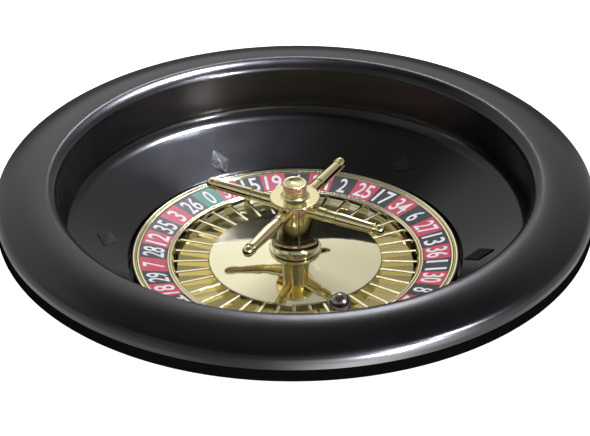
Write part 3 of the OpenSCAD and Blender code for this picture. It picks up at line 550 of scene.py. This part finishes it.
# Steel parts: spindle, nut, washer, screws, sleeve, retaining ring, bearing rings and balls, ground or turned.
# Tool lines half a millimetre apart go round them and draw the light out into fine rings.
steel, tree, shader, place = finish("turned_steel", base_color=colour("#b9babd"), metallic=1)
lines = add(tree, "ShaderNodeTexWave", {"Vector": place, "Scale": spaced(0.4488), "Distortion": 0.8,
                                        "Detail": 2}, wave_type="BANDS", bands_direction="Z")
rough = add(tree, "ShaderNodeMapRange", {"Value": lines.outputs["Fac"], "To Min": 0.22, "To Max": 0.36})
tree.links.new(rough.outputs["Result"], shader.inputs["Roughness"])
dress(["spindle", "spindle_washer", "spindle_nut", "lower_inner_race", "upper_inner_race", "race_sleeve",
       "retaining_ring", "lower_outer_race", "upper_outer_race", "tie_screw", "lower_beads", "upper_beads",
       *[f"base_screw_{k}" for k in range(1, 5)], *[f"rotor_screw_{k}" for k in range(1, 4)]], steel)

# Bearing cages: pressed from brass sheet and clinched round the balls. A soft tarnish in spots 2 mm across
# dulls the brass here and there.
brass, tree, shader, place = finish("pressed_brass", base_color=colour("#c9a860"), metallic=1)
tarnish = add(tree, "ShaderNodeTexNoise", {"Vector": place, "Scale": scale_for(2), "Detail": 4})
rough = add(tree, "ShaderNodeMapRange", {"Value": tarnish.outputs["Fac"], "To Min": 0.25, "To Max": 0.45})
tree.links.new(rough.outputs["Result"], shader.inputs["Roughness"])
dress(["lower_cage", "upper_cage"], brass)

# Table: a plain white surface that runs far past the picture's edge. It glows like a lit sheet of paper, so that
# it comes out as white as the photograph's ground.
table_half = 6
bm = bmesh.new()
bmesh.ops.create_grid(bm, x_segments=1, y_segments=1, size=table_half)
mesh = bpy.data.meshes.new("table")
bm.to_mesh(mesh)
bm.free()
table = bpy.data.objects.new("table", mesh)
bpy.context.collection.objects.link(table)
paper, tree, shader, place = finish("white_paper", base_color=colour("#f7f7f7"), roughness=0.9,
                                    specular_ior_level=0, emission_color=colour("#ffffff"),
                                    emission_strength=0.95)
mesh.materials.append(paper)
table.visible_glossy = table.visible_shadow = False

# Light: a grey room with lighter walls behind the wheel and on its left, dim overhead, and a bright floor in
# front of it on the right. The gloss mirrors this room below the horizon too: the table is hidden from it.
world = bpy.data.worlds.new("studio")
bpy.context.scene.world = world
world.use_nodes = True
tree = world.node_tree
towards = add(tree, "ShaderNodeTexCoord").outputs["Generated"]
parts = add(tree, "ShaderNodeSeparateXYZ", {"Vector": towards})
around = add(tree, "ShaderNodeMath", {0: parts.outputs["Y"], 1: parts.outputs["X"]}, operation="ARCTAN2")
bearing = add(tree, "ShaderNodeMapRange", {"Value": around.outputs["Value"], "From Min": -pi, "From Max": pi})
# Brightness of the walls and of the floor, by bearing in degrees from +X. A ramp holds values up to 1, so each
# is divided by the brightest, and the background's strength brings it back.
brightest, overhead_strength = 10, 2.2
wall_levels = {-180: 0.3, -145: 0.5, -120: 0.3, -75: 0.3, -45: 0.5, -20: 0.35, 0: 0.25, 40: 0.3, 75: 0.6,
               97: 1.1, 115: 0.7, 155: 0.7, 180: 0.3}
floor_levels = {-180: 0.9, -150: 0.9, -125: 0.5, -100: 0.8, -85: 3.5, -60: 10, -40: 6, -22: 1.6, 0: 0.8,
                60: 0.8, 72: 0.1, 110: 0.1, 125: 0.8, 145: 0.8, 165: 0.9, 180: 0.9}
brightness = []
for levels in (wall_levels, floor_levels):
    ramp = add(tree, "ShaderNodeValToRGB", {"Fac": bearing.outputs["Result"]})
    stops = ramp.color_ramp.elements
    for at, level in levels.items():
        stop = stops[0] if at == -180 else stops[len(stops) - 1] if at == 180 else stops.new((at + 180) / 360)
        stop.color = (*[level / brightest] * 3, 1)
    brightness.append(ramp.outputs["Color"])
skyline = add(tree, "ShaderNodeMapRange", {"Value": parts.outputs["Z"], "From Min": -0.02, "From Max": 0.35},
              interpolation_type="SMOOTHSTEP")
room = add(tree, "ShaderNodeMix", {"Factor": skyline.outputs["Result"], "A": brightness[1],
                                   "B": brightness[0]}, data_type="RGBA")
overhead = add(tree, "ShaderNodeMapRange", {"Value": parts.outputs["Z"], "From Min": 0.66, "From Max": 0.84,
                                            "To Min": brightest, "To Max": overhead_strength},
               interpolation_type="SMOOTHSTEP")
backdrop = tree.nodes["Background"]
tree.links.new(room.outputs["Result"], backdrop.inputs["Color"])
tree.links.new(overhead.outputs["Result"], backdrop.inputs["Strength"])


def soft_box(name, place, size, power, aim=(0, 0, 0.03)):
    """A rectangular light at a place in metres, facing the wheel."""
    light = bpy.data.lights.new(name, "AREA")
    light.shape, light.size, light.size_y, light.energy = "RECTANGLE", *size, power
    light.color = colour("#f3f4ff")[:3]
    made = bpy.data.objects.new(name, light)
    away = (Vector(place) - Vector(aim)).to_track_quat("Z", "Y")
    made.matrix_world = Matrix.Translation(place) @ away.to_matrix().to_4x4()
    made.visible_camera = False
    bpy.context.collection.objects.link(made)
    return made


def far(azimuth, elevation, distance):
    """A place by its direction in degrees and its distance in metres."""
    a, e = radians(azimuth), radians(elevation)
    return cos(e) * cos(a) * distance, cos(e) * sin(a) * distance, sin(e) * distance


lamp_distance = 1.6
soft_box("box_back", far(86, 42, lamp_distance), (0.2, 0.2), 2.2)
# Aimed beams, with where each stands, where it aims and its watts. They draw the streaks on the apron and rim.
beam_width, beam_blend, beam_lamp_r = radians(9), 0.6, 0.08
for name, place, aim, watts in (
        ("beam_high_right", far(9, 65, lamp_distance), (-0.05, 0.085, 0.03), 4000),
        ("beam_low_front", far(-46, 22, lamp_distance), (0.06, -0.12, 0.05), 450),
        ("beam_floor_front", far(-58, 4, lamp_distance), (0.04, -0.12, 0.05), 500),
        ("beam_right", far(-26, 38, lamp_distance), (0.08, -0.11, 0.05), 250)):
    beam = bpy.data.lights.new(name, "SPOT")
    beam.energy = watts
    beam.spot_size, beam.spot_blend, beam.shadow_soft_size = beam_width, beam_blend, beam_lamp_r
    beam.color = colour("#eceeff")[:3]
    made = bpy.data.objects.new(name, beam)
    away = (Vector(place) - Vector(aim)).to_track_quat("Z", "Y")
    made.matrix_world = Matrix.Translation(Vector(place) + Vector(aim)) @ away.to_matrix().to_4x4()
    made.visible_diffuse = made.visible_camera = False
    bpy.context.collection.objects.link(made)
# The fill lifts the printed colours and the gold's neighbours, and stays out of the gloss.
fill = soft_box("overhead_fill", far(90, 80, 3), (3.5, 3.5), 70)
fill.visible_glossy = False
